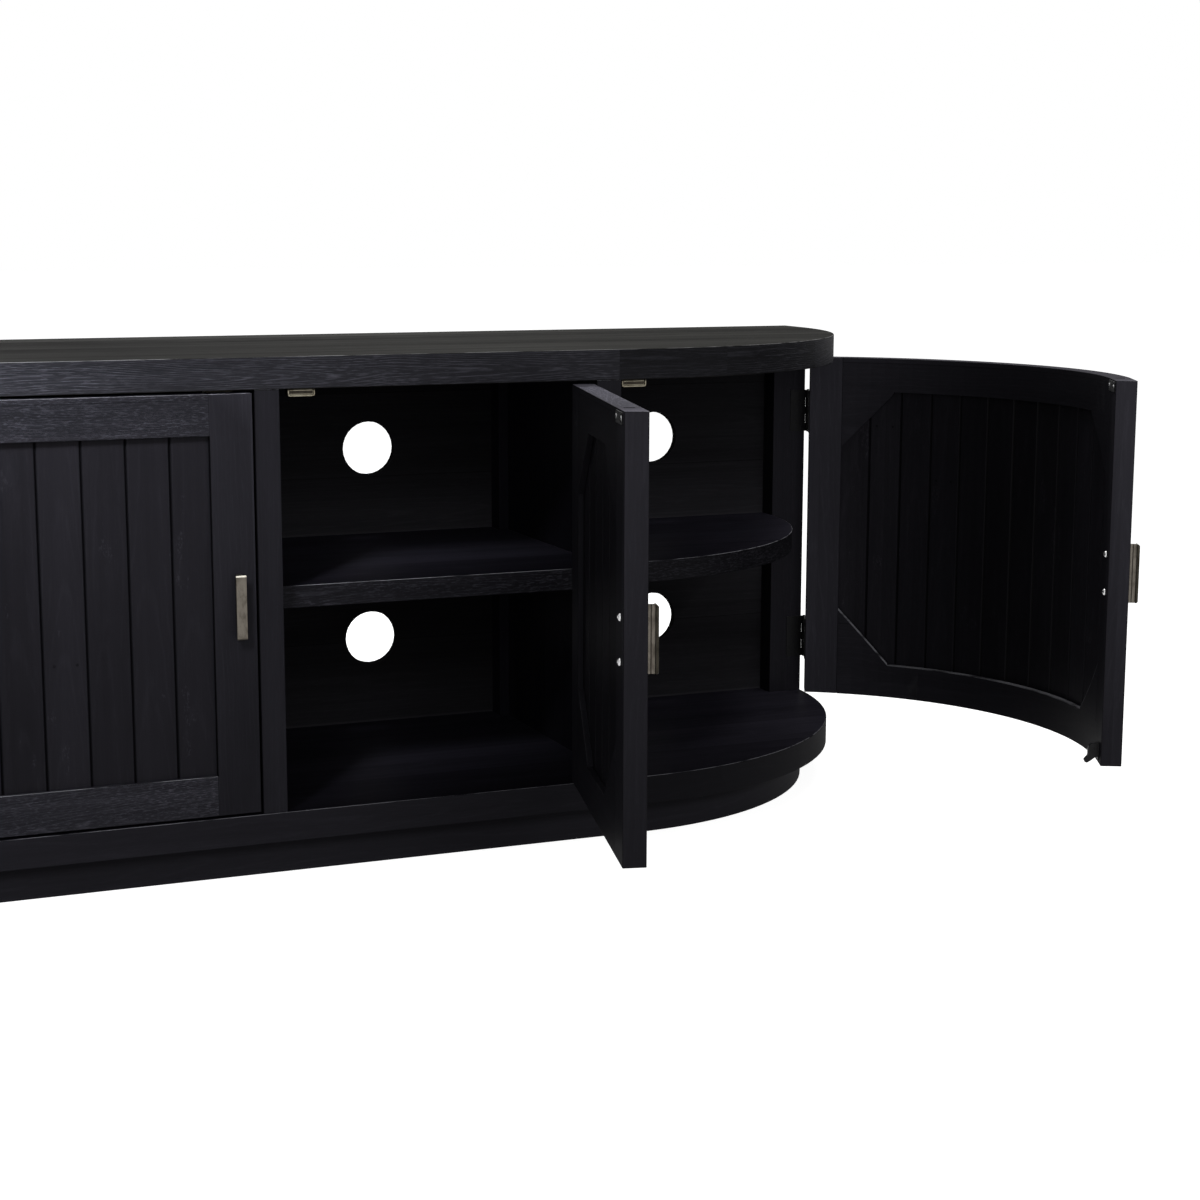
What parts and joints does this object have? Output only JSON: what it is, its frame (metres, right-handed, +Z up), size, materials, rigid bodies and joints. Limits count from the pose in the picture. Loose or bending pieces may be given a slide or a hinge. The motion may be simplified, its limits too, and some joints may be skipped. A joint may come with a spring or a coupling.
{
  "type": "media cabinet with rounded ends",
  "caption": "Long low media cabinet with quarter-round ends on a recessed plinth, hinged flat and curved framed doors, shelves and cable holes.",
  "frame": {"origin": "on the floor under the middle of the case's width and depth, on the plinth's cross rail", "axes": "+Z up; the front with its doors faces -Y; +X along the case's length, to the right of someone who faces the cabinet"},
  "size_m": [2.1272, 0.8895, 0.65],
  "materials": {
    "black_pine": "black-stained pine under a satin lacquer, grain and knots showing, edges slightly worn",
    "black_iron": "black-finished steel butt hinge, satin",
    "aged_brass": "aged antique brass, brushed lengthwise, darker in the edges",
    "pale_brass": "pale brass-plated catch housing"
  },
  "bodies": {
    "case": {"top_board": "black_pine", "bottom_board": "black_pine", "plinth_frame": "black_pine", "center_mullion": "black_pine", "center_partition": "black_pine", "right_mullion": "black_pine", "right_partition": "black_pine", "right_rear_post": "black_pine", "right_center_shelf": "black_pine", "right_end_shelf": "black_pine", "left_mullion": "black_pine", "left_partition": "black_pine", "left_rear_post": "black_pine", "left_center_shelf": "black_pine", "left_end_shelf": "black_pine", "back_panel": "black_pine", "left_round_door_upper_hinge_case_leaf": "black_iron", "left_round_door_lower_hinge_case_leaf": "black_iron", "left_round_door_catch": "pale_brass", "left_flat_door_upper_hinge_case_leaf": "black_iron", "left_flat_door_lower_hinge_case_leaf": "black_iron", "left_flat_door_catch": "pale_brass", "right_flat_door_upper_hinge_case_leaf": "black_iron", "right_flat_door_lower_hinge_case_leaf": "black_iron", "right_flat_door_catch": "pale_brass", "right_round_door_upper_hinge_case_leaf": "black_iron", "right_round_door_lower_hinge_case_leaf": "black_iron", "right_round_door_catch": "pale_brass"},
    "left_round_door": {"left_round_door_free_stile": "black_pine", "left_round_door_hinge_stile": "black_pine", "left_round_door_top_rail": "black_pine", "left_round_door_bottom_rail": "black_pine", "left_round_door_planks": "black_pine", "left_round_door_handle": "aged_brass", "left_round_door_upper_hinge_door_leaf": "black_iron", "left_round_door_lower_hinge_door_leaf": "black_iron"},
    "left_flat_door": {"left_flat_door_free_stile": "black_pine", "left_flat_door_hinge_stile": "black_pine", "left_flat_door_top_rail": "black_pine", "left_flat_door_bottom_rail": "black_pine", "left_flat_door_planks": "black_pine", "left_flat_door_handle": "aged_brass", "left_flat_door_upper_hinge_door_leaf": "black_iron", "left_flat_door_lower_hinge_door_leaf": "black_iron"},
    "right_flat_door": {"right_flat_door_free_stile": "black_pine", "right_flat_door_hinge_stile": "black_pine", "right_flat_door_top_rail": "black_pine", "right_flat_door_bottom_rail": "black_pine", "right_flat_door_planks": "black_pine", "right_flat_door_handle": "aged_brass", "right_flat_door_upper_hinge_door_leaf": "black_iron", "right_flat_door_lower_hinge_door_leaf": "black_iron"},
    "right_round_door": {"right_round_door_free_stile": "black_pine", "right_round_door_hinge_stile": "black_pine", "right_round_door_top_rail": "black_pine", "right_round_door_bottom_rail": "black_pine", "right_round_door_planks": "black_pine", "right_round_door_handle": "aged_brass", "right_round_door_upper_hinge_door_leaf": "black_iron", "right_round_door_lower_hinge_door_leaf": "black_iron"}
  },
  "joints": [
    {"name": "left_round_door_hinge", "type": "hinge", "parent": "case", "child": "left_round_door", "pos_m": [-0.9525, 0.17125, 0.3465], "axis": [0, 0, -1], "range_deg": [0, 120]},
    {"name": "left_flat_door_hinge", "type": "hinge", "parent": "case", "child": "left_flat_door", "pos_m": [-0.42825, -0.2475, 0.3465], "axis": [0, 0, -1], "range_deg": [0, 160]},
    {"name": "right_flat_door_hinge", "type": "hinge", "parent": "case", "child": "right_flat_door", "pos_m": [0.42825, -0.2475, 0.3465], "axis": [0, 0, 1], "range_deg": [-76, 84]},
    {"name": "right_round_door_hinge", "type": "hinge", "parent": "case", "child": "right_round_door", "pos_m": [0.9525, 0.17125, 0.3465], "axis": [0, 0, 1], "range_deg": [-63.7, 56.3]}
  ]
}
